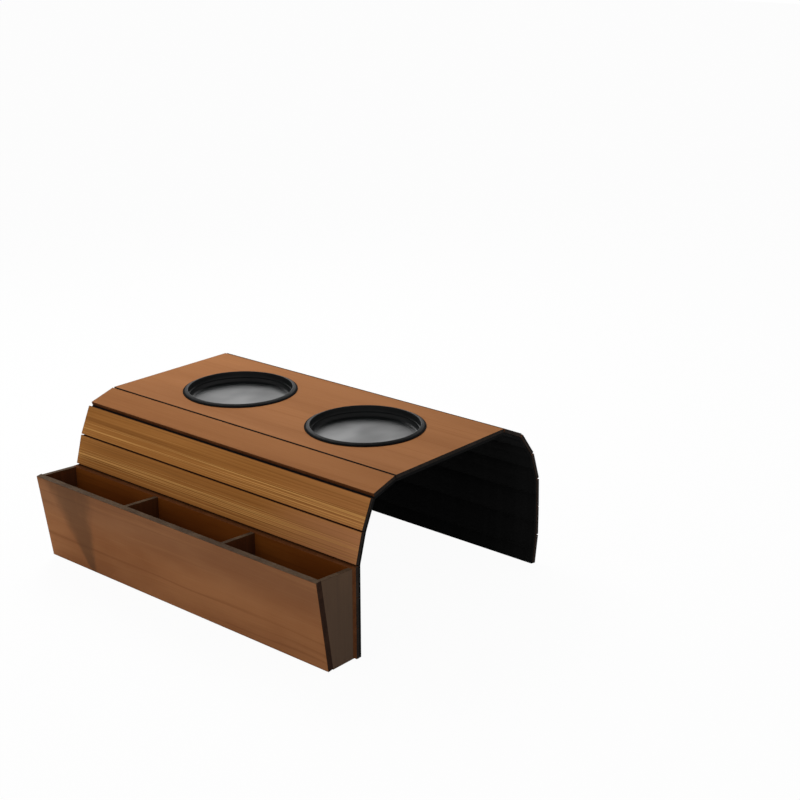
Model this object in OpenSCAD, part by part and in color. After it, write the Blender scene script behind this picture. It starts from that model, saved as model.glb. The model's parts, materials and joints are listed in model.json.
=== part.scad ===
// Sofa arm tray with a three-part caddy, draped over an arm.
// Length runs along X, the caddy hangs on the -Y side, +Z is up.
// The origin is the middle of the underside of the top backing.

/* [Tray] */
// length of every board along the arm
tray_l = 330; // [260:1:420]
// width of the top, from hinge line to hinge line
top_w = 135.5; // [120:0.5:170]
// distance from one hinge line to the next
slat_pitch = 25.8; // [18:0.1:35]
// gap between two neighbouring boards when laid flat
kerf = 0.5; // [0.3:0.1:1.5]
// thickness of the tray boards
board_t = 3; // [2:0.1:5]
// thickness of the cloth backing
backing_t = 2.5; // [2:0.1:4]
// how far the cloth stops short of the board ends
backing_inset = 0.6; // [0.2:0.1:3]

/* [Hinges] */
// diameter of the cloth bead on each hinge line
bead_d = 2.3; // [1.5:0.1:3]
// free space round each bead
bead_clear = 0.3; // [0.2:0.05:0.5]
// half angle of the groove cut inside each hinge
groove_angle = 35; // [20:1:40]

/* [Drape] */
// slope of near slat 1 below level
near_a1 = 16.5; // [5:0.5:30]
// slope of near slat 2
near_a2 = 66; // [50:0.5:70]
// slope of near slat 3
near_a3 = 74.5; // [71:0.5:85]
// slope of far slat 2
far_a2 = 52; // [45:0.5:60]
// slope of far slat 3
far_a3 = 71; // [62:0.5:78]
// slope of far slat 4
far_a4 = 88; // [80:0.5:89]
// slope of far slat 5
far_a5 = 89.5; // [89:0.5:92]
// slope of far slat 6, its foot turned in under the arm
far_a6 = 98; // [93:0.5:105]

/* [Dishes] */
// outer diameter of the rolled rim
dish_rim_d = 101; // [85:0.5:110]
// width of the rolled rim
dish_rim_w = 4.6; // [4:0.1:7]
// height of the rim above the panel
dish_rim_h = 2.3; // [1.5:0.1:4]
// depth of the floor below the panel face
dish_depth = 7.4; // [6:0.1:14]
// wall and floor thickness
dish_wall_t = 1.4; // [1:0.1:2.5]
// step in the wall half way down
dish_step = 0.7; // [0.3:0.1:1.5]
// free space round the dish in its hole
dish_clear = 0.35; // [0.2:0.05:0.8]
// distance between the two dish centres
dish_gap = 147.5; // [120:0.5:200]
// shift of the dishes towards the caddy
dish_shift = 0.5; // [0:0.5:8]

/* [Caddy] */
// thickness of the caddy's back, floor, ends and dividers
caddy_t = 4; // [3:0.1:5]
// thickness of the caddy's front board
front_t = 5; // [4:0.1:6]
// depth at the top, from the slats to the front face
caddy_depth_top = 43; // [36:0.5:60]
// depth at the bottom
caddy_depth_bottom = 31.5; // [25:0.5:55]
// height of the front edge above the back edge
front_rise = 2; // [0:0.1:8]
// height of the caddy floor above the slat foot
caddy_lift = 2; // [1:0.5:10]
// middle of the left divider
divider_1_x = -55; // [-80:0.5:-30]
// middle of the right divider
divider_2_x = 59.5; // [30:0.5:80]

/* [Hidden] */
half_l = tray_l/2;
half_bk = backing_t/2;
half_kerf = kerf/2;
axis_z = half_bk;
panel_z = backing_t;
face_v = half_bk + board_t;
slat_w = slat_pitch - kerf;
bead_r = bead_d/2;
socket_r = bead_r + bead_clear;
groove_w = half_bk*tan(groove_angle);
backing_l = tray_l - 2*backing_inset;
near_a4 = 90;
// both feet reach the same level, so the first far slope follows
near_drop = sin(near_a1) + sin(near_a2) + sin(near_a3) + 3;
far_rest = sin(far_a2) + sin(far_a3) + sin(far_a4) + sin(far_a5) + sin(far_a6);
foot_fix = (face_v*cos(far_a6) - half_kerf*(1 - sin(far_a6)))/slat_pitch;
far_a1 = asin(near_drop - far_rest + foot_fix);
near_a = [near_a1, near_a2, near_a3, near_a4];
far_a = [far_a1, far_a2, far_a3, far_a4, far_a5, far_a6];
// the round face is kept smooth
round_n = 96;
bead_n = 32;
// dish, measured from its own axis and the panel face
dish_r = dish_rim_d/2;
mouth_r = dish_r - dish_rim_w;
dish_out_r = mouth_r + 0.8;
hole_r = dish_out_r + dish_clear;
hole_cloth_r = hole_r + 0.4;
step_z = -dish_depth*0.42;
floor_r = mouth_r - dish_step - 1.6;
panel_face_z = panel_z + board_t;
dish_x = dish_gap/2;
// caddy, measured down the skirt (u) and out from the cloth middle (v)
skirt_u = 3*slat_pitch - half_kerf;
cad_u0 = half_kerf;
cad_u1 = skirt_u - caddy_lift;
cad_v0 = face_v + caddy_t;
front_u0 = cad_u0 - front_rise;
front_v0 = face_v + caddy_depth_top;
front_v1 = face_v + caddy_depth_bottom;
front_slope = atan2(front_v0 - front_v1, cad_u1 - front_u0);
front_h = norm([front_v0 - front_v1, cad_u1 - front_u0]);
caddy_in_l = tray_l - 2*caddy_t;
wood = "#9a6a48";
wood_light = "#a8794f";
wood_edge = "#6b4a33";
cloth = "#1c1b1b";
shell = "#232323";

// distance down and out of the hinge line below board k
function run_y(a, k) = k == 0 ? top_w/2 : run_y(a, k - 1) + slat_pitch*cos(a[k - 1]);
function run_z(a, k) = k == 0 ? axis_z : run_z(a, k - 1) - slat_pitch*sin(a[k - 1]);
// inner face of the sloping front board at depth u
function front_in_v(u) = front_v1 + (cad_u1 - u)*tan(front_slope) - front_t/cos(front_slope);

// puts a board drawn flat onto the far or the near side
module far_at(k) {
    translate([0, run_y(far_a, k), run_z(far_a, k)])
        rotate([-far_a[k], 0, 0])
            children();
}

module near_at(k) {
    rotate([0, 0, 180])
        translate([0, run_y(near_a, k), run_z(near_a, k)])
            rotate([-near_a[k], 0, 0])
                children();
}

// one slat, its hinge line at the origin
module slat(u = 0) {
    translate([-half_l, u + half_kerf, half_bk])
        cube([tray_l, slat_w, board_t]);
}

// round bar of cloth along a hinge line
module hinge_bar(r, l) {
    rotate([0, 90, 0])
        cylinder(h = l, r = r, center = true, $fn = bead_n);
}

// cross section drawn as [u, v] and stretched along the tray
module along(l) {
    rotate([90, 0, 90])
        linear_extrude(height = l, center = true)
            children();
}

// cloth behind one hinged slat, with a socket at its start
module cloth_hinged(u_end, bead) {
    u_in = bead ? u_end - groove_w : u_end;
    difference() {
        union() {
            along(backing_l)
                polygon([[0, half_bk], [u_end, half_bk], [u_end, 0], [u_in, -half_bk],
                    [groove_w, -half_bk], [0, 0]]);
            if (bead)
                translate([0, u_end, 0])
                    hinge_bar(bead_r, backing_l);
        }
        hinge_bar(socket_r, backing_l + 2);
    }
}

module top_panel() {
    color(wood)
        difference() {
            translate([-half_l, -top_w/2 + half_kerf, panel_z])
                cube([tray_l, top_w - kerf, board_t]);
            for (x = [-dish_x, dish_x])
                translate([x, -dish_shift, panel_z - 1])
                    cylinder(h = board_t + 2, r = hole_r, $fn = round_n);
        }
}

module top_backing() {
    w = top_w/2;
    color(cloth)
        difference() {
            union() {
                along(backing_l)
                    polygon([[-w, backing_t], [w, backing_t], [w, axis_z], [w - groove_w, 0],
                        [-w + groove_w, 0], [-w, axis_z]]);
                for (y = [-w, w])
                    translate([0, y, axis_z])
                        hinge_bar(bead_r, backing_l);
            }
            for (x = [-dish_x, dish_x])
                translate([x, -dish_shift, -1])
                    cylinder(h = backing_t + 2, r = hole_cloth_r, $fn = round_n);
        }
}

// rolled rim, stepped wall and flat floor turned round one axis
module dish_shell() {
    out_z = -dish_depth - dish_wall_t;
    rotate_extrude($fn = round_n)
        polygon([
            [0, out_z], [dish_out_r - 2, out_z], [dish_out_r - 0.6, out_z + 0.6],
            [dish_out_r, out_z + 2], [dish_out_r, 0], [dish_r - 0.4, 0],
            [dish_r, 0.4], [dish_r - 0.1, dish_rim_h*0.5], [dish_r - 0.7, dish_rim_h*0.83],
            [dish_r - 1.6, dish_rim_h], [mouth_r + 1.5, dish_rim_h],
            [mouth_r + 0.6, dish_rim_h*0.83], [mouth_r + 0.1, dish_rim_h*0.45],
            [mouth_r, 0], [mouth_r - 0.4, step_z], [mouth_r - 0.4 - dish_step, step_z - 0.5],
            [floor_r + 0.6, -dish_depth + 1.1], [floor_r - 0.1, -dish_depth + 0.3],
            [floor_r - 1, -dish_depth], [0, -dish_depth]]);
}

module dish_left() {
    color(shell)
        translate([-dish_x, -dish_shift, panel_face_z])
            dish_shell();
}

module dish_right() {
    color(shell)
        translate([dish_x, -dish_shift, panel_face_z])
            dish_shell();
}

module near_slat_1() {
    color(wood)
        near_at(0)
            slat();
}

module near_slat_2() {
    color(wood_light)
        near_at(1)
            slat();
}

module near_slat_3() {
    color(wood_light)
        near_at(2)
            slat();
}

module near_slat_4() {
    color(wood_light)
        near_at(3)
            slat();
}

module near_slat_5() {
    color(wood_light)
        near_at(3)
            slat(slat_pitch);
}

module near_slat_6() {
    color(wood_light)
        near_at(3)
            slat(2*slat_pitch);
}

module near_backing_1() {
    color(cloth)
        near_at(0)
            cloth_hinged(slat_pitch, true);
}

module near_backing_2() {
    color(cloth)
        near_at(1)
            cloth_hinged(slat_pitch, true);
}

module near_backing_3() {
    color(cloth)
        near_at(2)
            cloth_hinged(slat_pitch, true);
}

module near_skirt_backing() {
    color(cloth)
        near_at(3)
            cloth_hinged(skirt_u, false);
}

module far_slat_1() {
    color(wood)
        far_at(0)
            slat();
}

module far_slat_2() {
    color(wood_light)
        far_at(1)
            slat();
}

module far_slat_3() {
    color(wood_light)
        far_at(2)
            slat();
}

module far_slat_4() {
    color(wood_light)
        far_at(3)
            slat();
}

module far_slat_5() {
    color(wood_light)
        far_at(4)
            slat();
}

module far_slat_6() {
    color(wood_light)
        far_at(5)
            slat();
}

module far_backing_1() {
    color(cloth)
        far_at(0)
            cloth_hinged(slat_pitch, true);
}

module far_backing_2() {
    color(cloth)
        far_at(1)
            cloth_hinged(slat_pitch, true);
}

module far_backing_3() {
    color(cloth)
        far_at(2)
            cloth_hinged(slat_pitch, true);
}

module far_backing_4() {
    color(cloth)
        far_at(3)
            cloth_hinged(slat_pitch, true);
}

module far_backing_5() {
    color(cloth)
        far_at(4)
            cloth_hinged(slat_pitch, true);
}

module far_backing_6() {
    color(cloth)
        far_at(5)
            cloth_hinged(slat_pitch - half_kerf, false);
}

module caddy_back() {
    color(wood_edge)
        near_at(3)
            translate([-half_l, cad_u0, face_v])
                cube([tray_l, cad_u1 - cad_u0, caddy_t]);
}

module caddy_front() {
    color(wood)
        near_at(3)
            translate([-half_l, cad_u1, front_v1])
                rotate([-front_slope, 0, 0])
                    translate([0, -front_h, -front_t])
                        cube([tray_l, front_h, front_t]);
}

module caddy_floor() {
    u = cad_u1 - caddy_t;
    color(wood_edge)
        near_at(3)
            along(caddy_in_l)
                polygon([[u, cad_v0], [cad_u1, cad_v0], [cad_u1, front_in_v(cad_u1)],
                    [u, front_in_v(u)]]);
}

// board across the caddy, its lower edge at depth u
module cross_board(x, u) {
    translate([x, 0, 0])
        along(caddy_t)
            polygon([[cad_u0, cad_v0], [u, cad_v0], [u, front_in_v(u)],
                [front_u0, front_in_v(front_u0)]]);
}

// the near side is turned half round, so X is counted the other way
module caddy_end_left() {
    color(wood_edge)
        near_at(3)
            cross_board(half_l - caddy_t/2, cad_u1);
}

module caddy_end_right() {
    color(wood_edge)
        near_at(3)
            cross_board(-half_l + caddy_t/2, cad_u1);
}

module caddy_divider_1() {
    color(wood_edge)
        near_at(3)
            cross_board(-divider_1_x, cad_u1 - caddy_t);
}

module caddy_divider_2() {
    color(wood_edge)
        near_at(3)
            cross_board(-divider_2_x, cad_u1 - caddy_t);
}

top_panel();
top_backing();
dish_left();
dish_right();
near_slat_1();
near_slat_2();
near_slat_3();
near_slat_4();
near_slat_5();
near_slat_6();
near_backing_1();
near_backing_2();
near_backing_3();
near_skirt_backing();
far_slat_1();
far_slat_2();
far_slat_3();
far_slat_4();
far_slat_5();
far_slat_6();
far_backing_1();
far_backing_2();
far_backing_3();
far_backing_4();
far_backing_5();
far_backing_6();
caddy_back();
caddy_front();
caddy_floor();
caddy_end_left();
caddy_end_right();
caddy_divider_1();
caddy_divider_2();
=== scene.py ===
import json
import math

import bmesh
import bpy
from mathutils import Matrix, Vector
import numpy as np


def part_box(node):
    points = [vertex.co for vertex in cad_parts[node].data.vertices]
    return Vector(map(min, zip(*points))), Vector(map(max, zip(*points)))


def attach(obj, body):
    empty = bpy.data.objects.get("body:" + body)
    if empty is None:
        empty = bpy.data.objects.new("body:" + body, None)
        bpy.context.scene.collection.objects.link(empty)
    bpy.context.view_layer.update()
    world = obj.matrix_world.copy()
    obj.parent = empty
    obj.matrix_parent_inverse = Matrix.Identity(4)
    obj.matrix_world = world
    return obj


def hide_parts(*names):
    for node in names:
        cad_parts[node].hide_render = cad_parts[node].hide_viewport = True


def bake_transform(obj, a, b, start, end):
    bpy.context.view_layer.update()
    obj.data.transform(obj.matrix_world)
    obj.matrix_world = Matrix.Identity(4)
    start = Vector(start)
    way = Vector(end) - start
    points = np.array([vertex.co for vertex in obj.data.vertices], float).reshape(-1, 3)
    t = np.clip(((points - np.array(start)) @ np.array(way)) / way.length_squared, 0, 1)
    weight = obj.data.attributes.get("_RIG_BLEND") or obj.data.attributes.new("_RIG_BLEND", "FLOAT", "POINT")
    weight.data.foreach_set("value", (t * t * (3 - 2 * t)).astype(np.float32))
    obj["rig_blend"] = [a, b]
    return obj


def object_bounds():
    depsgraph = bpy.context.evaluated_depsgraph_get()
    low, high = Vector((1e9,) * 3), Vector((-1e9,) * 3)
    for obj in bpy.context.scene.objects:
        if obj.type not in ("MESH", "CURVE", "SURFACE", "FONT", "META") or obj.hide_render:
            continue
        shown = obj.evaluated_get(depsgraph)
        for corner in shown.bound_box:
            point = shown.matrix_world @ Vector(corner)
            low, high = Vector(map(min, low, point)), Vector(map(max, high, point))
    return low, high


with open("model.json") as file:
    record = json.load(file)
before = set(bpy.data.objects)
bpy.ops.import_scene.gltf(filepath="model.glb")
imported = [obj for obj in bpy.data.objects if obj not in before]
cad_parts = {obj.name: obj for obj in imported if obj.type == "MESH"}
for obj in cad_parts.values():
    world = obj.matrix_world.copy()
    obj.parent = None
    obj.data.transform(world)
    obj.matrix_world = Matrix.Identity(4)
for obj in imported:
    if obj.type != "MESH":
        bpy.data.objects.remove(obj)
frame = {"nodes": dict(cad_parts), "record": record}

CAD_BOX = [list(corner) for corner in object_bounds()]
MM = 0.001
NODES = frame["nodes"]
JOINTS = {joint["name"]: joint for joint in frame["record"]["behaviour"]["joints"]}
X_AXIS = Vector((1, 0, 0))


# The camera
# The photographer's place and aim, worked out from the edges of the tray in the picture.
VIEW_TURN = math.radians(40.5385)
VIEW_DROP = math.radians(18.6483)
VIEW_ROLL = math.radians(-0.0578)
FOCAL_PX = 1550.35
PICTURE_PX = 800
TRAY_IN_VIEW = Vector((-84.3085, 11.1549, 1324.4015)) * MM


def set_up_camera():
    ahead = Vector((-math.sin(VIEW_TURN) * math.cos(VIEW_DROP),
                    math.cos(VIEW_TURN) * math.cos(VIEW_DROP), -math.sin(VIEW_DROP)))
    level_right = ahead.cross(Vector((0, 0, 1))).normalized()
    level_up = level_right.cross(ahead)
    right = math.cos(VIEW_ROLL) * level_right + math.sin(VIEW_ROLL) * level_up
    up = math.cos(VIEW_ROLL) * level_up - math.sin(VIEW_ROLL) * level_right
    place = -(right * TRAY_IN_VIEW.x - up * TRAY_IN_VIEW.y + ahead * TRAY_IN_VIEW.z)
    lens = bpy.data.cameras.new("camera")
    lens.sensor_width = 36
    lens.lens = FOCAL_PX * lens.sensor_width / PICTURE_PX
    lens.clip_start = 0.05
    lens.clip_end = 50
    camera = bpy.data.objects.new("camera", lens)
    turn = Matrix((right, up, -ahead)).transposed()
    camera.matrix_world = Matrix.Translation(place) @ turn.to_4x4()
    bpy.context.scene.collection.objects.link(camera)
    bpy.context.scene.camera = camera


# Shader maths
def paint(r, g, b):
    """A colour written 0 to 255 as a screen shows it, turned into the light it sends back."""
    def light(c):
        c /= 255
        return c / 12.92 if c <= 0.04045 else ((c + 0.055) / 1.055) ** 2.4
    return (light(r), light(g), light(b), 1)


class Value:
    """A shader socket that can be used in ordinary sums."""

    def __init__(self, finish, socket):
        self.finish, self.socket = finish, socket

    def sum(self, operation, a, b):
        return self.finish.node("ShaderNodeMath", {"operation": operation}, {0: a, 1: b})

    def __add__(self, other):
        return self.sum("ADD", self, other)

    def __radd__(self, other):
        return self.sum("ADD", other, self)

    def __sub__(self, other):
        return self.sum("SUBTRACT", self, other)

    def __rsub__(self, other):
        return self.sum("SUBTRACT", other, self)

    def __mul__(self, other):
        return self.sum("MULTIPLY", self, other)

    def __rmul__(self, other):
        return self.sum("MULTIPLY", other, self)

    def __truediv__(self, other):
        return self.sum("DIVIDE", self, other)

    def __pow__(self, other):
        return self.sum("POWER", self, other)


class Finish:
    """One material and the few kinds of node that the tray's finishes are mixed from."""

    def __init__(self, name):
        self.material = bpy.data.materials.new(name)
        self.material.use_nodes = True
        self.tree = self.material.node_tree
        self.tree.nodes.clear()

    def node(self, kind, settings=None, sockets=None, out=0):
        made = self.tree.nodes.new(kind)
        for name, value in (settings or {}).items():
            if name == "stops":
                ramp = made.color_ramp
                while len(ramp.elements) < len(value):
                    ramp.elements.new(0.5)
                for element, (place, colour) in zip(ramp.elements, value):
                    element.position = place
                    element.color = colour
            else:
                setattr(made, name, value)
        for name, value in (sockets or {}).items():
            if isinstance(value, Value):
                self.tree.links.new(value.socket, made.inputs[name])
            else:
                made.inputs[name].default_value = value
        return Value(self, made.outputs[out]) if len(made.outputs) else None

    def place(self):
        return self.node("ShaderNodeTexCoord", out="Object")

    def part(self, vector, axis):
        return self.node("ShaderNodeSeparateXYZ", None, {0: vector}, out="XYZ".index(axis))

    def stretched(self, vector, per_metre):
        return self.node("ShaderNodeVectorMath", {"operation": "MULTIPLY"}, {0: vector, 1: per_metre})

    def moved(self, vector, by):
        return self.node("ShaderNodeVectorMath", {"operation": "ADD"}, {0: vector, 1: by})

    def noise(self, vector, detail=2.0, roughness=0.5):
        return self.node("ShaderNodeTexNoise", None,
                         {"Vector": vector, "Scale": 1.0, "Detail": detail, "Roughness": roughness})

    def between(self, value, low, high):
        """0 below low, 1 above high, and smooth in between."""
        return self.node("ShaderNodeMapRange", {"interpolation_type": "SMOOTHSTEP"},
                         {0: value, 1: low, 2: high})

    def mix(self, share, a, b):
        return self.node("ShaderNodeMix", {"data_type": "RGBA"}, {0: share, 6: a, 7: b}, out=2)

    def darker(self, share, colour, by):
        return self.node("ShaderNodeMix", {"data_type": "RGBA", "blend_type": "MULTIPLY"},
                         {0: share, 6: colour, 7: by}, out=2)

    def bump(self, height, depth_mm, strength=1.0):
        return self.node("ShaderNodeBump", None,
                         {"Height": height, "Distance": depth_mm * MM, "Strength": strength})

    def surface(self, **sockets):
        shader = self.node("ShaderNodeBsdfPrincipled", None,
                           {name.replace("_", " "): value for name, value in sockets.items()})
        self.node("ShaderNodeOutputMaterial", None, {"Surface": shader})
        return self.material


# The finishes
def drawn_out(finish, place, across, run, detail=2.0, roughness=0.5):
    """Noise drawn out along the boards: features per metre across them, and along them."""
    return finish.noise(finish.stretched(place, (run, across, across)), detail, roughness)


def singed(finish, colour, depth=0.5):
    """Browns the foil along the cut edges, where the saw or laser has scorched it."""
    margin = finish.node("ShaderNodeAttribute", {"attribute_name": SINGE}, out="Fac")
    uneven = finish.noise(finish.stretched(finish.place(), (420, 420, 420)), 3, 0.6)
    share = depth * finish.between(margin + 0.7 * uneven, 0.75, 1.45)
    return finish.mix(share, colour, paint(70, 42, 24))


SINGE = "singe"


def wandering(finish, place, by_mm, along=7, across=24):
    """The place nudged up and down by a slow drift, so that drawn-out grain wanders."""
    drift = finish.noise(finish.stretched(place, (along, across, across)), 1, 0.4)
    nudge = finish.node("ShaderNodeCombineXYZ", None, {"Z": 2 * by_mm * MM * (drift - 0.5)})
    return finish.moved(place, nudge)


def reddish_foil():
    """The smooth reddish wood foil of the flat top and the first slats."""
    f = Finish("reddish_wood_foil")
    place = f.place()
    broad = drawn_out(f, place, 26, 3)
    streak = drawn_out(f, place, 300, 5, 4, 0.6)
    fibre = drawn_out(f, place, 1500, 18, 3, 0.6)
    pore = drawn_out(f, f.moved(place, (0.31, 0.17, 0.5)), 2200, 60, 2, 0.5)
    colour = f.mix(f.between(broad, 0.3, 0.7), paint(150, 98, 58), paint(162, 108, 66))
    colour = f.mix(0.4 * f.between(streak, 0.5, 0.75), colour, paint(136, 86, 50))
    colour = f.mix(0.25 * f.between(fibre, 0.45, 0.75), colour, paint(178, 122, 76))
    colour = f.mix(0.3 * f.between(pore, 0.62, 0.74), colour, paint(118, 72, 40))
    return f.surface(Base_Color=singed(f, colour), Roughness=0.6 + 0.12 * streak,
                     Specular_IOR_Level=0.03, Normal=f.bump(fibre, 0.03))


def golden_foil():
    """The golden-brown foil of the other slats: plain bands between sheaves of pale lines."""
    f = Finish("golden_lined_foil")
    place = f.place()
    height = f.part(place, "Z")
    fade = drawn_out(f, place, 18, 5)
    band = f.node("ShaderNodeMath", {"operation": "SINE"},
                  {0: (height + 0.0262) * (2 * math.pi / 0.0242) + 2.6 * (fade - 0.5)})
    sheaf = f.between(band, -0.7, 0.6)
    cloud = drawn_out(f, place, 60, 4)
    dark = drawn_out(f, place, 620, 3, 4, 0.6)
    pale = drawn_out(f, f.moved(place, (3.1, 0.7, 0.4)), 980, 2.6, 3, 0.6)
    fine = drawn_out(f, f.moved(place, (1.3, 0.2, 0.9)), 1500, 7, 3, 0.6)
    plainer = (f.between(f.part(place, "X") + 0.1 * fade, 0.08, 0.21)
               * (1 - 0.7 * f.between(height, -0.033, -0.026)))
    colour = f.mix(f.between(cloud, 0.3, 0.7), paint(166, 108, 52), paint(182, 122, 63))
    colour = f.mix(0.85 * plainer, colour, paint(188, 128, 86))
    lines = 1 - 0.6 * plainer
    colour = f.mix(lines * (0.35 + 0.25 * sheaf) * f.between(dark, 0.48, 0.64), colour,
                   paint(122, 74, 32))
    colour = f.mix(lines * (0.1 + 0.75 * sheaf) * f.between(pale, 0.5, 0.62), colour,
                   paint(226, 168, 96))
    colour = f.mix(0.25 * f.between(fine, 0.5, 0.75), colour, paint(134, 84, 38))
    return f.surface(Base_Color=singed(f, colour), Roughness=0.6 + 0.14 * dark,
                     Specular_IOR_Level=0.03, Normal=f.bump(0.6 * fine + 0.4 * pale, 0.04))


def drifting_foil():
    """The caddy's outer face: faint wandering grain, and one soft dark patch by its left end."""
    f = Finish("drifting_wood_foil")
    place = f.place()
    wavy = wandering(f, place, 9)
    vein = drawn_out(f, wavy, 150, 2.2, 2.5, 0.55)
    light_vein = drawn_out(f, f.moved(wavy, (2.3, 0, 0.7)), 190, 2.6, 2, 0.5)
    streak = drawn_out(f, wavy, 420, 6, 4, 0.6)
    fibre = drawn_out(f, place, 1500, 18, 3, 0.6)
    broad = f.noise(f.stretched(place, (11, 30, 30)), 2, 0.5)
    colour = f.mix(f.between(broad, 0.3, 0.7), paint(144, 92, 56), paint(164, 110, 70))
    colour = f.mix(0.4 * f.between(vein, 0.55, 0.68), colour, paint(118, 72, 42))
    colour = f.mix(0.22 * f.between(light_vein, 0.56, 0.7), colour, paint(184, 128, 80))
    colour = f.mix(0.3 * f.between(streak, 0.5, 0.75), colour, paint(132, 84, 50))
    colour = f.mix(0.25 * f.between(fibre, 0.5, 0.75), colour, paint(174, 122, 80))
    upper = f.between(f.part(place, "Z") + 0.02 * broad, -0.09, -0.055)
    colour = f.mix(0.3 * upper, colour, paint(122, 90, 68))
    ragged = f.noise(f.stretched(place, (55, 55, 40)), 3, 0.55)
    down = PATCH_TOP[1] - f.part(place, "Z")
    off = f.part(place, "X") - PATCH_TOP[0] - PATCH_LEAN * down
    reach = (off / (PATCH_HALF - PATCH_TAPER * down)) ** 2
    patch = 1 - f.between(reach + 2.2 * (ragged - 0.5), 0, 1.8)
    colour = f.mix(0.6 * patch, colour, paint(92, 66, 46))
    return f.surface(Base_Color=singed(f, colour), Roughness=0.6 + 0.1 * streak,
                     Specular_IOR_Level=0.03, Normal=f.bump(fibre, 0.035))


# The dark patch: its middle at the top (x, z) and half its width there, in metres, and how
# far it moves right and narrows for each metre down.
PATCH_TOP = (-0.122, -0.065)
PATCH_LEAN = 0.2
PATCH_HALF, PATCH_TAPER = 0.024, 0.32


def shade_painted_end_foil():
    """The caddy's end faces, with faint upright grain: the wood foil painted a darker, greyer brown, which is
    painted shade with a painted whitish reflection.
    """
    f = Finish("foil_with_painted_shade")
    place = f.place()
    streak = f.noise(f.stretched(place, (300, 300, 5)), 4, 0.6)
    cloud = f.noise(f.stretched(place, (24, 40, 14)), 2, 0.5)
    fibre = f.noise(f.stretched(place, (1700, 1700, 24)), 3, 0.6)
    # These browns are painted shade and a painted whitish reflection on the wood foil, not a different foil.
    colour = f.mix(f.between(cloud, 0.35, 0.7), paint(86, 65, 48), paint(97, 73, 53))
    colour = f.mix(0.25 * f.between(streak, 0.4, 0.7), colour, paint(72, 56, 44))
    colour = f.mix(0.2 * f.between(fibre, 0.5, 0.75), colour, paint(100, 80, 62))
    return f.surface(Base_Color=singed(f, colour, 0.25), Roughness=0.55 + 0.1 * streak,
                     Specular_IOR_Level=0.1, Normal=f.bump(fibre, 0.03))


def caddy_rim():
    """The upper edges of the caddy's boards: sanded, grey brown."""
    f = Finish("sanded_rim")
    place = f.place()
    fleck = f.noise(f.stretched(place, (600, 600, 600)), 3, 0.6)
    cloud = f.noise(f.stretched(place, (45, 90, 90)), 2, 0.5)
    colour = f.mix(f.between(cloud, 0.35, 0.7), paint(72, 56, 42), paint(90, 72, 55))
    colour = f.mix(0.4 * f.between(fleck, 0.45, 0.7), colour, paint(54, 38, 29))
    return f.surface(Base_Color=colour, Roughness=0.65 + 0.15 * fleck, Specular_IOR_Level=0.1,
                     Normal=f.bump(fleck, 0.05))


def caddy_lining():
    """The inside of the caddy's back and floor, a deep orange brown."""
    f = Finish("deep_orange_lining")
    place = f.place()
    streak = drawn_out(f, place, 360, 5, 4, 0.6)
    fibre = drawn_out(f, place, 1400, 16, 3, 0.6)
    cloud = f.noise(f.stretched(place, (12, 40, 40)), 2, 0.5)
    colour = f.mix(f.between(cloud, 0.3, 0.7), paint(114, 60, 16), paint(132, 74, 24))
    colour = f.mix(0.4 * f.between(streak, 0.45, 0.7), colour, paint(100, 50, 12))
    colour = f.mix(0.3 * f.between(fibre, 0.5, 0.75), colour, paint(86, 42, 12))
    return f.surface(Base_Color=colour, Roughness=0.55 + 0.1 * streak, Specular_IOR_Level=0.1,
                     Normal=f.bump(fibre, 0.03))


def caddy_cross_lining():
    """The inside of the ends and the dividers, almost black brown."""
    f = Finish("dark_cross_lining")
    place = f.place()
    streak = f.noise(f.stretched(place, (300, 300, 8)), 4, 0.6)
    fibre = f.noise(f.stretched(place, (1500, 1500, 24)), 3, 0.6)
    colour = f.mix(f.between(streak, 0.35, 0.7), paint(78, 44, 22), paint(90, 52, 28))
    colour = f.mix(0.3 * f.between(fibre, 0.5, 0.75), colour, paint(60, 34, 18))
    return f.surface(Base_Color=colour, Roughness=0.55 + 0.1 * streak, Specular_IOR_Level=0.1,
                     Normal=f.bump(fibre, 0.03))


def cut_edge(name, dark, light, worn):
    """A board's cut edge: uneven, with a few worn or lighter places."""
    f = Finish(name)
    place = f.place()
    burn = f.noise(f.stretched(place, (900, 900, 900)), 3, 0.6)
    cloud = f.noise(f.stretched(place, (60, 60, 60)), 2, 0.5)
    colour = f.mix(f.between(burn, 0.35, 0.7), paint(*dark), paint(*light))
    colour = f.mix(0.5 * f.between(cloud, 0.45, 0.7), colour, paint(*worn))
    return f.surface(Base_Color=colour, Roughness=0.7 + 0.15 * burn, Specular_IOR_Level=0.05,
                     Normal=f.bump(burn, 0.06))


def long_edge():
    """The long edges of the boards, a dark red brown."""
    return cut_edge("red_brown_edge", (86, 48, 24), (106, 62, 32), (114, 70, 40))


def caddy_edge():
    """The caddy's other edges, browned where they were cut."""
    return cut_edge("scorched_caddy_edge", (42, 26, 18), (58, 38, 27), (66, 45, 33))


def board_end():
    """The short ends of the boards, scorched almost to black."""
    return cut_edge("scorched_board_end", (34, 29, 26), (50, 44, 40), (60, 52, 47))


def bare_board():
    """The unseen underside of a board: plain pressed fibre."""
    f = Finish("pressed_fibre")
    place = f.place()
    fleck = f.noise(f.stretched(place, (700, 700, 700)), 3, 0.6)
    colour = f.mix(f.between(fleck, 0.35, 0.7), paint(58, 40, 28), paint(74, 53, 38))
    return f.surface(Base_Color=colour, Roughness=0.8, Specular_IOR_Level=0.1,
                     Normal=f.bump(fleck, 0.05))


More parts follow.
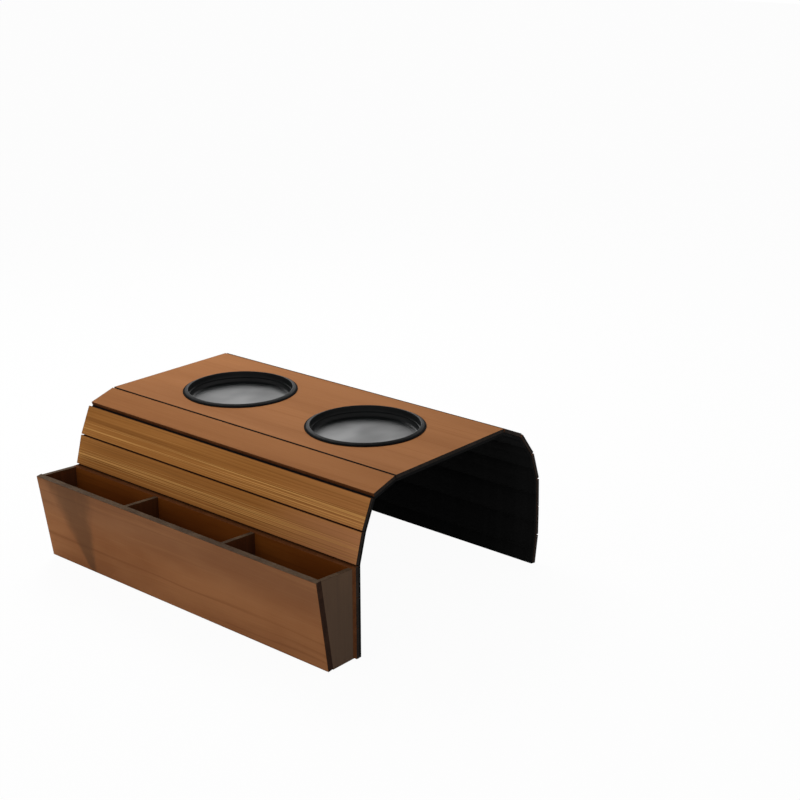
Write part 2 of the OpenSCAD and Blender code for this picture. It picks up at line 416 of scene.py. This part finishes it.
def black_felt():
    """The cloth backing: near-black pressed felt with short tangled hairs."""
    f = Finish("black_felt")
    place = f.place()
    hair = f.noise(f.stretched(place, (1600, 1600, 1600)), 4, 0.7)
    tuft = f.noise(f.stretched(place, (320, 320, 320)), 3, 0.6)
    band = f.noise(f.stretched(place, (110, 4, 4)), 2, 0.5)
    colour = f.mix(f.between(hair, 0.35, 0.7), paint(20, 20, 20), paint(30, 30, 30))
    colour = f.mix(0.5 * f.between(tuft, 0.45, 0.7), colour, paint(24, 24, 24))
    colour = f.mix(0.4 * f.between(band, 0.45, 0.6), colour, paint(30, 30, 30))
    return f.surface(Base_Color=colour, Roughness=0.95, Specular_IOR_Level=0.02,
                     Normal=f.bump(0.6 * hair + 0.4 * tuft, 0.25))


def black_plastic():
    """The dishes: black moulded plastic with faint smears in its gloss."""
    f = Finish("satin_black_plastic")
    place = f.place()
    grit = f.noise(f.stretched(place, (2600, 2600, 2600)), 2, 0.5)
    cloud = f.noise(f.stretched(place, (45, 45, 45)), 2, 0.5)
    smear = f.noise(f.stretched(f.moved(place, (0.4, 0.1, 0)), (40, 24, 30)), 1.5, 0.5)
    colour = f.mix(f.between(cloud, 0.3, 0.7), paint(10, 13, 13), paint(15, 19, 19))
    return f.surface(Base_Color=colour, Roughness=0.33 + 0.14 * f.between(smear, 0.3, 0.7) + 0.05 * grit,
                     Specular_IOR_Level=0.8, Normal=f.bump(grit, 0.002))


def rim_plastic():
    """The dishes' rims: the same black plastic with a duller, finely grained face, and painted shade making
    the outer border almost black.
    """
    f = Finish("dull_black_rim")
    place = f.place()
    grit = f.noise(f.stretched(place, (2600, 2600, 2600)), 2, 0.5)
    scuff = f.noise(f.stretched(place, (160, 160, 160)), 3, 0.6)
    outward = f.node("ShaderNodeAttribute", {"attribute_name": OUTWARD}, out="Fac")
    # Painted shade: the rim's outer border is coloured almost black for the shadow under its lip, and made
    # rougher.
    shade_painted_border = f.between(outward, 0.955, 0.98)
    colour = f.mix(f.between(scuff, 0.35, 0.7), paint(8, 8, 9), paint(15, 14, 14))
    colour = f.mix(shade_painted_border, colour, paint(3, 3, 3))
    return f.surface(Base_Color=colour, Roughness=0.4 + 0.4 * shade_painted_border + 0.08 * scuff + 0.05 * grit,
                     Specular_IOR_Level=0.15, Normal=f.bump(grit, 0.006))


OUTWARD = "outward"


# Making a piece
def finished(name, bm, materials, stands_for, body):
    """Turns built geometry into a piece that rides on its body and stands for its solid."""
    mesh = bpy.data.meshes.new(name)
    bm.to_mesh(mesh)
    bm.free()
    for material in materials:
        mesh.materials.append(material)
    piece = bpy.data.objects.new(name, mesh)
    bpy.context.scene.collection.objects.link(piece)
    if stands_for:
        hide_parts(*stands_for)
    if body:
        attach(piece, body)
    return piece


def round_corners(bm, width_mm, sharp_deg=30, segments=2):
    """Takes the sharpness off every hard edge, as sanding does."""
    hard = [e for e in bm.edges if len(e.link_faces) == 2
            and e.calc_face_angle(0) > math.radians(sharp_deg)]
    bmesh.ops.bevel(bm, geom=hard, offset=width_mm * MM, segments=segments, profile=0.6,
                    affect="EDGES", clamp_overlap=True)


EDGE_ROUND = 0.13  # mm
SINGE_W = 0.7      # mm of a face that is browned along its edge


def mark_singe(bm, inner):
    """Marks every corner but the inner ones of the faces, for the browning along the edges."""
    layer = bm.verts.layers.float[SINGE]
    for vert in bm.verts:
        vert[layer] = 0.0 if vert in inner else 1.0


def inner_ring(bm, faces):
    """Cuts a narrow margin round the wide faces and returns the corners inside it."""
    bmesh.ops.inset_region(bm, faces=faces, thickness=SINGE_W * MM, use_boundary=True,
                           use_even_offset=True)
    return {vert for face in faces for vert in face.verts}


def board(name, node, body, faces, edge, rims=(), skew=0.985):
    """A thin board copied from its solid, with softened edges.
    faces and rims hold (direction, finish) pairs. A face that looks that way takes that finish
    and is browned along its margins; a rim takes it with the rounded corners beside it."""
    bm = bmesh.new()
    bm.from_mesh(NODES[node].data)
    bm.verts.layers.float.new(SINGE)
    bmesh.ops.remove_doubles(bm, verts=bm.verts, dist=1e-6)
    bmesh.ops.dissolve_limit(bm, angle_limit=math.radians(0.5), verts=bm.verts, edges=bm.edges)
    bm.normal_update()
    inner = set()
    for direction, _ in faces:
        wide = [face for face in bm.faces if face.normal.dot(Vector(direction).normalized()) > skew]
        inner |= inner_ring(bm, wide)
    round_corners(bm, EDGE_ROUND)
    mark_singe(bm, inner)
    bm.normal_update()
    coated = [(way, skew) for way, _ in faces] + [(way, 0.3) for way, _ in rims]
    finishes = [edge] + [finish for _, finish in (*faces, *rims)]
    for face in bm.faces:
        for i, (direction, least) in enumerate(coated):
            if face.normal.dot(Vector(direction).normalized()) > least:
                face.material_index = i + 1
                break
    return finished(name, bm, finishes, [node], body)


def outward(node):
    """The direction that the wide face of a board round the arch looks."""
    mesh = NODES[node].data
    widest = {}
    for polygon in mesh.polygons:
        key = tuple(round(c, 2) for c in polygon.normal)
        widest[key] = widest.get(key, 0) + polygon.area
    low, high = (Vector(corner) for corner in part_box(node))
    away = (low + high) / 2 - ARCH_MIDDLE
    best = sorted(widest, key=widest.get)[-2:]
    return max((Vector(key) for key in best), key=lambda n: n.dot(away))


ARCH_MIDDLE = Vector((0, 0, -0.06))


def plate_with_holes(low, high, circles, around=128):
    """A flat plate from corner to corner with round holes, each (x, y, radius)."""
    bm = bmesh.new()
    loops = [[(low.x, low.y), (high.x, low.y), (high.x, high.y), (low.x, high.y)]]
    for x, y, r in circles:
        loops.append([(x + r * math.cos(2 * math.pi * i / around),
                       y + r * math.sin(2 * math.pi * i / around)) for i in range(around)])
    edges = []
    for loop in loops:
        verts = [bm.verts.new((x, y, low.z)) for x, y in loop]
        edges += [bm.edges.new((verts[i - 1], verts[i])) for i in range(len(verts))]
    bmesh.ops.triangle_fill(bm, use_beauty=True, use_dissolve=False, edges=edges)
    bottom = bm.faces[:]
    grown = bmesh.ops.extrude_face_region(bm, geom=bottom)["geom"]
    top = [v for v in grown if isinstance(v, bmesh.types.BMVert)]
    bmesh.ops.translate(bm, verts=top, vec=(0, 0, high.z - low.z))
    bmesh.ops.recalc_face_normals(bm, faces=bm.faces)
    return bm


# The boards
def body_of_node(node):
    for body, nodes in frame["record"]["behaviour"]["bodies"].items():
        if node in nodes:
            return body
    raise KeyError(node)


def make_slats(red, gold, edge, end, bare):
    for side in ("near", "far"):
        for k in range(1, 7):
            node = f"{side}_slat_{k}"
            face = red if k == 1 else gold
            out = outward(node)
            board(f"{side}_board_{k}", node, body_of_node(node),
                  [(out, face), (-out, bare)], edge,
                  [(X_AXIS, end), (-X_AXIS, end)])


def dish_holes(grow=0.0):
    holes = []
    for node in ("dish_left", "dish_right"):
        low, high = (Vector(corner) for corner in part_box(node))
        middle = (low + high) / 2
        holes.append((middle.x, middle.y, DISH_HOLE_R * MM + grow))
    return holes


DISH_HOLE_R = 47.05
CLOTH_HOLE_R = 47.45


def make_top(red, edge, end, bare):
    low, high = (Vector(corner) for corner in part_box("top_panel"))
    bm = plate_with_holes(low, high, dish_holes())
    bm.verts.layers.float.new(SINGE)
    bm.normal_update()
    inner = inner_ring(bm, [face for face in bm.faces if face.normal.z > 0.985])
    round_corners(bm, EDGE_ROUND)
    mark_singe(bm, inner)
    bm.normal_update()
    for face in bm.faces:
        at_end = min(abs(vert.co.x) for vert in face.verts) > high.x - 2 * EDGE_ROUND * MM
        if abs(face.normal.z) > 0.985:
            face.material_index = 1 if face.normal.z > 0 else 2
        elif at_end:
            face.material_index = 3
    finished("top_board", bm, [edge, red, bare, end], ["top_panel"], "top")


def make_caddy(front, side, lining, cross, edge, rear_edge, rim, bare):
    # side, the end faces' finish, also covers the base's underside; its colour holds painted shade and a
    # painted whitish reflection.
    tilt = Vector((0, -1, 0))
    out = outward_of_front()
    up = [(X_AXIS.cross(-out), rim)]
    level = [((0, 0, 1), rim)]
    board("caddy_face", "caddy_front", "near_skirt",
          [(out, front), (-out, lining)], edge, up)
    board("caddy_rear", "caddy_back", "near_skirt",
          [(tilt, lining), (-tilt, bare)], rear_edge)
    board("caddy_base", "caddy_floor", "near_skirt",
          [((0, 0, 1), lining), ((0, 0, -1), side)], edge)
    board("caddy_side_left", "caddy_end_left", "near_skirt",
          [((-1, 0, 0), side), ((1, 0, 0), cross)], edge, level)
    board("caddy_side_right", "caddy_end_right", "near_skirt",
          [((1, 0, 0), side), ((-1, 0, 0), cross)], edge, level)
    for k in (1, 2):
        board(f"caddy_wall_{k}", f"caddy_divider_{k}", "near_skirt",
              [((1, 0, 0), cross), ((-1, 0, 0), cross)], edge, level)


def outward_of_front():
    """The slope of the caddy's front face, read from its solid."""
    faces = sorted(NODES["caddy_front"].data.polygons, key=lambda p: p.area)[-4:]
    return min((face.normal.copy() for face in faces), key=lambda n: n.y)


# The dishes
# Half of the dish cut through its axis, as (radius, height over the panel) in mm.
RIM_R, RIM_W, RIM_H = 50.5, 4.6, 2.3
MOUTH_R = RIM_R - RIM_W
FLOOR_Z, WALL_T = -7.4, 1.4
STEP_Z, STEP_W = FLOOR_Z * 0.42, 0.7
CREST_W = 0.5   # from the mouth to the rim's crest; outside it the rim slopes down
RIM_BULGE = 0.12
CROWN = 0.6     # rise of the floor's middle


def arc(centre, radius, start_deg, end_deg, points):
    """Points on an ellipse or circle, from one angle to the other."""
    rx, rz = radius
    for i in range(points):
        a = math.radians(start_deg + (end_deg - start_deg) * i / (points - 1))
        yield (centre[0] + rx * math.cos(a), centre[1] + rz * math.sin(a))


def dish_outline():
    floor_r = MOUTH_R - STEP_W - 1.6
    out_r = MOUTH_R + 0.8
    line = [(r * floor_r, FLOOR_Z + CROWN * (1 - r * r)) for r in (0, 0.15, 0.3, 0.45, 0.6, 0.75, 0.87)]
    line += [(floor_r - 2.6, FLOOR_Z)]
    line += arc((floor_r - 1.4, FLOOR_Z + 1.6), (1.9, 1.6), -80, -14, 7)
    line += [(floor_r + 1.15, STEP_Z - 0.9)]
    line += arc((MOUTH_R - 0.4 - STEP_W + 0.05, STEP_Z - 0.35), (0.3, 0.35), 60, 88, 3)
    line += [(MOUTH_R - 0.7, STEP_Z)]
    line += arc((MOUTH_R - 0.75, STEP_Z + 0.35), (0.35, 0.35), -80, -10, 4)
    line += [(MOUTH_R - 0.15, -0.6)]
    crest_r = MOUTH_R + CREST_W
    line += arc((crest_r, RIM_H - CREST_W), (CREST_W, CREST_W), 178, 64, 8)
    (crest_end, crest_z), (edge_r, edge_z) = line[-1], (RIM_R - 0.15, 0.5)
    for share in (0.05, 0.2, 0.5, 0.8, 0.95):
        bulge = RIM_BULGE * 4 * share * (1 - share)
        line += [(crest_end + share * (edge_r - crest_end), crest_z + share * (edge_z - crest_z) + bulge)]
    line += arc((RIM_R - 0.3, 0.3), (0.3, 0.3), 55, 2, 4)
    line += [(RIM_R - 0.25, 0.05), (RIM_R - 0.6, 0), (out_r + 0.3, 0)]
    line += arc((out_r + 0.25, -0.25), (0.25, 0.25), 95, 175, 3)
    bottom = FLOOR_Z - WALL_T
    line += [(out_r, bottom + 2.2)]
    line += arc((out_r - 1.9, bottom + 1.9), (1.9, 1.9), -2, -88, 7)
    line += [(out_r - 3, bottom), (out_r * 0.5, bottom), (0, bottom)]
    return line


def make_dish(name, node, plastic, rim, around=160):
    low, high = (Vector(corner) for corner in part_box(node))
    axis = (low + high) / 2
    panel_z = high.z - RIM_H * MM
    bm = bmesh.new()
    outward = bm.verts.layers.float.new(OUTWARD)
    rings = []
    for r, z in dish_outline():
        if r == 0:
            rings.append([bm.verts.new((axis.x, axis.y, panel_z + z * MM))])
        else:
            rings.append([bm.verts.new((axis.x + r * MM * math.cos(2 * math.pi * i / around),
                                        axis.y + r * MM * math.sin(2 * math.pi * i / around),
                                        panel_z + z * MM)) for i in range(around)])
    for inner, outer in zip(rings, rings[1:]):
        for i in range(around):
            j = (i + 1) % around
            ring = [inner[i % len(inner)], inner[j % len(inner)], outer[j % len(outer)],
                    outer[i % len(outer)]]
            face = bm.faces.new(list(dict.fromkeys(ring)))
            face.smooth = True
            low_corner = min(ring, key=lambda vert: vert.co.z)
            outer_corner = min((vert.co - axis).xy.length for vert in ring)
            if low_corner.co.z > panel_z - 0.01 * MM and outer_corner > (MOUTH_R + CREST_W / 2) * MM:
                face.material_index = 1
    for vert in bm.verts:
        vert[outward] = (vert.co - axis).xy.length / (RIM_R * MM)
    bmesh.ops.recalc_face_normals(bm, faces=bm.faces)
    return finished(name, bm, [plastic, rim], [node], node)


# The cloth
CLOTH_T = 2.5 * MM
BEND = 1.6 * MM     # half the length of cloth that takes up a fold
SOFT = 0.45 * MM    # rounding of the cloth's cut edges
LET_OUT = 0.4 * MM


def hinge(name):
    x, y, z = JOINTS[name]["pos_m"]
    return Vector((0, y, z))


def cloth_end(node, last_hinge):
    """The middle of the cloth's cut edge: the mean of its solid's points furthest from the hinge."""
    points = [Vector((0, v.co.y, v.co.z)) for v in NODES[node].data.vertices]
    furthest = max((p - last_hinge).length for p in points)
    ends = [p for p in points if (p - last_hinge).length > furthest - 1e-5]
    return sum(ends, Vector()) / len(ends)


def folded_line(a, corner, b, steps=10):
    """The middle of the cloth from a over a hinge line to b, with the corner rounded."""
    if corner is None:
        return [a, b]
    before, after = (a - corner).normalized(), (b - corner).normalized()
    start, end = corner + before * BEND, corner + after * BEND
    line = [a]
    for i in range(steps + 1):
        t = i / steps
        line.append((1 - t) ** 2 * start + 2 * t * (1 - t) * corner + t * t * end)
    return line + [b]


def cloth_strip(name, a, corner, b, felt, cut_end=False):
    """Cloth along one stretch, from end to end of the tray, as a closed soft-edged solid."""
    low, high = cloth_box()
    line = folded_line(a, corner, b)
    tangents = []
    for i in range(len(line)):
        p, q = line[max(i - 1, 0)], line[min(i + 1, len(line) - 1)]
        tangents.append((q - p).normalized())
    stations = [(line[i], tangents[i], 0.0) for i in range(len(line))]
    round_steps = [math.radians(d) for d in (0, 30, 60, 90)]
    if cut_end:
        last, heading, _ = stations.pop()
        for angle in round_steps:
            stations.append((last - heading * SOFT * (1 - math.sin(angle)), heading,
                             SOFT * (1 - math.cos(angle))))
    across = [(low.x + SOFT * (1 - math.sin(t)), SOFT * (1 - math.cos(t))) for t in round_steps[::-1]]
    inner = 12
    for i in range(1, inner):
        across.append((low.x + (high.x - low.x) * i / inner, 0.0))
    across += [(high.x - SOFT * (1 - math.sin(t)), SOFT * (1 - math.cos(t))) for t in round_steps]
    bm = bmesh.new()
    skins = []
    for way in (1, -1):
        grid = []
        for point, heading, thin in stations:
            normal = X_AXIS.cross(heading) * way
            row = []
            for x, thin_x in across:
                half = CLOTH_T / 2 - max(thin, thin_x)
                row.append(bm.verts.new(Vector((x, point.y, point.z)) + normal * half))
            grid.append(row)
        skins.append(grid)
    rows, columns = len(stations), len(across)
    for grid in skins:
        for i in range(rows - 1):
            for j in range(columns - 1):
                bm.faces.new((grid[i][j], grid[i][j + 1], grid[i + 1][j + 1], grid[i + 1][j]))
    top, under = skins
    for i in range(rows - 1):
        for j in (0, columns - 1):
            bm.faces.new((top[i][j], top[i + 1][j], under[i + 1][j], under[i][j]))
    for j in range(columns - 1):
        for i in (0, rows - 1):
            bm.faces.new((top[i][j], top[i][j + 1], under[i][j + 1], under[i][j]))
    bmesh.ops.recalc_face_normals(bm, faces=bm.faces)
    for face in bm.faces:
        face.smooth = True
    length = sum((q - p).length for p, q in zip(line, line[1:]))
    return bm, (high.x - low.x, length)


def cloth_box():
    """The box of the flat top's cloth, let out a little towards the boards' ends."""
    low, high = (Vector(corner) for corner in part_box("top_backing"))
    low.x -= LET_OUT
    high.x += LET_OUT
    return low, high


def make_cloth(felt):
    low, high = cloth_box()
    middle_z = (low.z + high.z) / 2
    width = high.x - low.x
    sides = {"near": ["near_1", "near_2", "near_3", "near_skirt"],
             "far": [f"far_{k}" for k in range(1, 7)]}
    stand_for = {"near": {"near_1": "near_backing_1", "near_2": "near_backing_2",
                          "near_3": "near_backing_3", "near_skirt": "near_skirt_backing"},
                 "far": {f"far_{k}": f"far_backing_{k}" for k in range(1, 7)}}
    top_edge = {}
    for side, bodies in sides.items():
        hinges = [hinge(f"{body}_fold") for body in bodies]
        node_end = stand_for[side][bodies[-1]]
        end = cloth_end(node_end, hinges[-1])
        toward_top = Vector((0, 0, middle_z)) - hinges[0]
        start = hinges[0] + toward_top.normalized() * 10 * MM
        top_edge[side] = start.y
        for i, body in enumerate(bodies):
            following = hinges[i + 1] if i + 1 < len(hinges) else end
            stop = (hinges[i] + following) / 2
            if body == "near_skirt":
                stop = hinges[i] + (end - hinges[i]).normalized() * 13 * MM
            bm, flat = cloth_strip(f"{body}_cloth", start, hinges[i], stop, felt)
            piece = finished(f"{body}_cloth", bm, [felt], [stand_for[side][body]], None)
            parent = "top" if i == 0 else bodies[i - 1]
            before = (start - hinges[i]).normalized()
            after = (stop - hinges[i]).normalized()
            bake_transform(piece, parent, body, start=hinges[i] + before * BEND, end=hinges[i] + after * BEND)
            start = stop
        bm, flat = cloth_strip(f"{side}_cloth_foot", start, None, end, felt, cut_end=True)
        piece = finished(f"{side}_cloth_foot", bm, [felt], [node_end], bodies[-1])
    low.y, high.y = top_edge["near"], top_edge["far"]
    grow = (CLOTH_HOLE_R - DISH_HOLE_R) * MM
    bm = plate_with_holes(low, high, dish_holes(grow))
    piece = finished("top_cloth", bm, [felt], ["top_backing"], "top")
    flat = (width, high.y - low.y)
    flat[0] * flat[1] - 2 * math.pi * (CLOTH_HOLE_R * MM) ** 2


# The floor and the light
def make_room():
    floor_z = CAD_BOX[0][2]
    mesh = bpy.data.meshes.new("floor")
    reach = 6
    mesh.from_pydata([(-reach, -reach, floor_z), (reach, -reach, floor_z),
                      (reach, reach, floor_z), (-reach, reach, floor_z)], [], [(0, 1, 2, 3)])
    floor = bpy.data.objects.new("floor", mesh)
    bpy.context.scene.collection.objects.link(floor)
    f = Finish("pale_floor")
    path = {name: f.node("ShaderNodeLightPath", out=name)
            for name in ("Is Camera Ray", "Is Glossy Ray", "Is Transmission Ray")}
    seen = path["Is Camera Ray"] + path["Is Glossy Ray"] + path["Is Transmission Ray"]
    matt = f.node("ShaderNodeBsdfDiffuse", None, {"Color": (0.9, 0.9, 0.9, 1)})
    white = f.node("ShaderNodeEmission", None, {"Color": (1, 1, 1, 1), "Strength": 1.0})
    mixed = f.node("ShaderNodeMixShader", None, {0: 0.96 * f.between(seen, 0.4, 0.6), 1: matt, 2: white})
    f.node("ShaderNodeOutputMaterial", None, {"Surface": mixed})
    mesh.materials.append(f.material)

    world = bpy.data.worlds.new("studio")
    bpy.context.scene.world = world
    world.use_nodes = True
    sky = Finish.__new__(Finish)
    sky.material, sky.tree = world, world.node_tree
    sky.tree.nodes.clear()
    aim = sky.node("ShaderNodeTexCoord", out="Generated")
    toward = sky.node("ShaderNodeVectorMath", {"operation": "DOT_PRODUCT"},
                      {0: aim, 1: CARD_WAY}, out="Value")
    low = 1 - sky.between(sky.part(aim, "Z"), 0.2, 0.6)
    card = sky.between(toward, 0.74, 0.95)
    plain, dim, white = (sky.node("ShaderNodeBackground", None,
                                  {"Color": (1, 1, 1, 1), "Strength": strength})
                         for strength in (SKY_LIGHT, ROOM_DIM, 1))
    mirrored = sky.node("ShaderNodeMixShader", None, {0: 0.25 * low + 0.75 * card, 1: dim, 2: white})
    by_gloss = sky.node("ShaderNodeLightPath", out="Is Glossy Ray")
    seen = (sky.node("ShaderNodeLightPath", out="Is Camera Ray")
            + sky.node("ShaderNodeLightPath", out="Is Transmission Ray"))
    lit = sky.node("ShaderNodeMixShader", None, {0: by_gloss, 1: plain, 2: mirrored})
    both = sky.node("ShaderNodeMixShader", None, {0: seen, 1: lit, 2: white})
    sky.node("ShaderNodeOutputWorld", None, {"Surface": both})


SKY_LIGHT = 0.45
ROOM_DIM = 0.04                     # what the plastic mirrors of the dark ceiling
CARD_WAY = (-0.63, 0.62, 0.468)   # from the tray towards the bright card behind it


def lamp(name, place, aim, size, watts, mirrored=False):
    light = bpy.data.lights.new(name, "AREA")
    light.shape = "DISK"
    light.size = size
    light.energy = watts
    holder = bpy.data.objects.new(name, light)
    direction = Vector(aim) - Vector(place)
    holder.rotation_euler = direction.to_track_quat("-Z", "Y").to_euler()
    holder.location = place
    holder.visible_camera = False
    holder.visible_glossy = mirrored
    bpy.context.scene.collection.objects.link(holder)


def main():
    bpy.context.scene.view_settings.view_transform = "Standard"
    set_up_camera()
    red, gold, bare = reddish_foil(), golden_foil(), bare_board()
    edge, end = long_edge(), board_end()
    make_top(red, edge, end, bare)
    make_slats(red, gold, edge, end, bare)
    make_caddy(drifting_foil(), shade_painted_end_foil(), caddy_lining(), caddy_cross_lining(),
               caddy_edge(), edge, caddy_rim(), bare)
    plastic, rim = black_plastic(), rim_plastic()
    make_dish("left_dish", "dish_left", plastic, rim)
    make_dish("right_dish", "dish_right", plastic, rim)
    make_cloth(black_felt())
    make_room()
    lamp("soft_key", (-0.45, 0.16, 0.6), (-0.02, 0, 0), 0.4, 2.8)
    lamp("soft_fill", (0.2, -1.5, 0.7), (0, 0, -0.05), 1.2, 3)
    lamp("back_card", (-0.68, 0.58, 0.68), (0, 0, 0), 0.7, 3.2, mirrored=True)


main()
